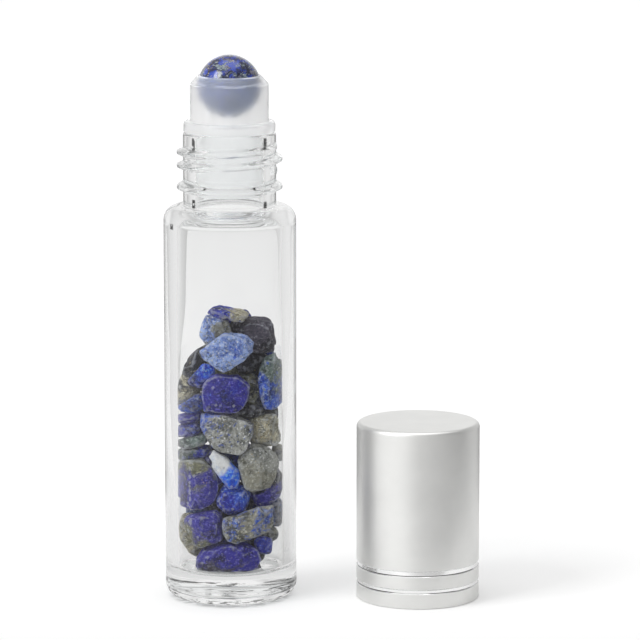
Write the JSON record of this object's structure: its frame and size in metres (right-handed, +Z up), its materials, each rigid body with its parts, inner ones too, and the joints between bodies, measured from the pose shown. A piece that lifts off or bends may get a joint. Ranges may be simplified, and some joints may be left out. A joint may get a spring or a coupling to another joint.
{
  "type": "roll-on bottle",
  "caption": "Clear glass roll-on vial holding tumbled lapis chips, with a stone roller ball in a translucent housing and a screw-on aluminium cap standing beside it.",
  "frame": {"origin": "centre of the vial's base, on the plane that the vial and the cap stand on", "axes": "+Z up along the vial's axis; +X from the vial towards the cap; the view in the picture looks along +Y"},
  "size_m": [0.0478, 0.0203, 0.0829],
  "materials": {
    "clear_glass": "polished clear glass",
    "translucent_plastic": "natural translucent polypropylene",
    "polished_lapis": "polished lapis lazuli",
    "tumbled_lapis": "tumbled lapis lazuli, from deep blue to grey and olive",
    "satin_aluminium": "satin anodised, with two polished grooves",
    "white_plastic": "moulded white polypropylene",
    "soft_white_plastic": "soft white polyethylene"
  },
  "bodies": {
    "vial": {"glass_bottle": "clear_glass", "roller_housing": "translucent_plastic", "lapis_chip_01": "tumbled_lapis", "lapis_chip_02": "tumbled_lapis", "lapis_chip_03": "tumbled_lapis", "lapis_chip_04": "tumbled_lapis", "lapis_chip_05": "tumbled_lapis", "lapis_chip_06": "tumbled_lapis", "lapis_chip_07": "tumbled_lapis", "lapis_chip_08": "tumbled_lapis", "lapis_chip_09": "tumbled_lapis", "lapis_chip_10": "tumbled_lapis", "lapis_chip_11": "tumbled_lapis", "lapis_chip_12": "tumbled_lapis", "lapis_chip_13": "tumbled_lapis", "lapis_chip_14": "tumbled_lapis", "lapis_chip_15": "tumbled_lapis", "lapis_chip_16": "tumbled_lapis", "lapis_chip_17": "tumbled_lapis", "lapis_chip_18": "tumbled_lapis", "lapis_chip_19": "tumbled_lapis", "lapis_chip_20": "tumbled_lapis", "lapis_chip_21": "tumbled_lapis", "lapis_chip_22": "tumbled_lapis", "lapis_chip_23": "tumbled_lapis", "lapis_chip_24": "tumbled_lapis", "lapis_chip_25": "tumbled_lapis", "lapis_chip_26": "tumbled_lapis", "lapis_chip_27": "tumbled_lapis", "lapis_chip_28": "tumbled_lapis", "lapis_chip_29": "tumbled_lapis", "lapis_chip_30": "tumbled_lapis", "lapis_chip_31": "tumbled_lapis", "lapis_chip_32": "tumbled_lapis", "lapis_chip_33": "tumbled_lapis", "lapis_chip_34": "tumbled_lapis", "lapis_chip_35": "tumbled_lapis", "lapis_chip_36": "tumbled_lapis", "lapis_chip_37": "tumbled_lapis", "lapis_chip_38": "tumbled_lapis", "lapis_chip_39": "tumbled_lapis", "lapis_chip_40": "tumbled_lapis", "lapis_chip_41": "tumbled_lapis", "lapis_chip_42": "tumbled_lapis", "lapis_chip_43": "tumbled_lapis", "lapis_chip_44": "tumbled_lapis", "lapis_chip_45": "tumbled_lapis", "lapis_chip_46": "tumbled_lapis", "lapis_chip_47": "tumbled_lapis", "lapis_chip_48": "tumbled_lapis", "lapis_chip_49": "tumbled_lapis", "lapis_chip_50": "tumbled_lapis", "lapis_chip_51": "tumbled_lapis", "lapis_chip_52": "tumbled_lapis", "lapis_chip_53": "tumbled_lapis"},
    "ball": {"roller_ball": "polished_lapis"},
    "cap_lifted": {"cap_seal_disc": "soft_white_plastic"},
    "cap": {"cap_shell": "satin_aluminium", "cap_liner": "white_plastic"}
  },
  "joints": [
    {"name": "ball_roll", "type": "hinge", "parent": "vial", "child": "ball", "pos_m": [0, 0, 0.0781], "axis": [1, 0, 0], "continuous": true},
    {"name": "cap_lift", "type": "slide", "parent": "vial", "child": "cap_lifted", "axis": [0, 0, 1], "range_m": [0, 0.09]},
    {"name": "cap_turn", "type": "hinge", "parent": "cap_lifted", "child": "cap", "pos_m": [0.0285, -0.001, 0], "axis": [0, 0, 1], "continuous": true}
  ]
}
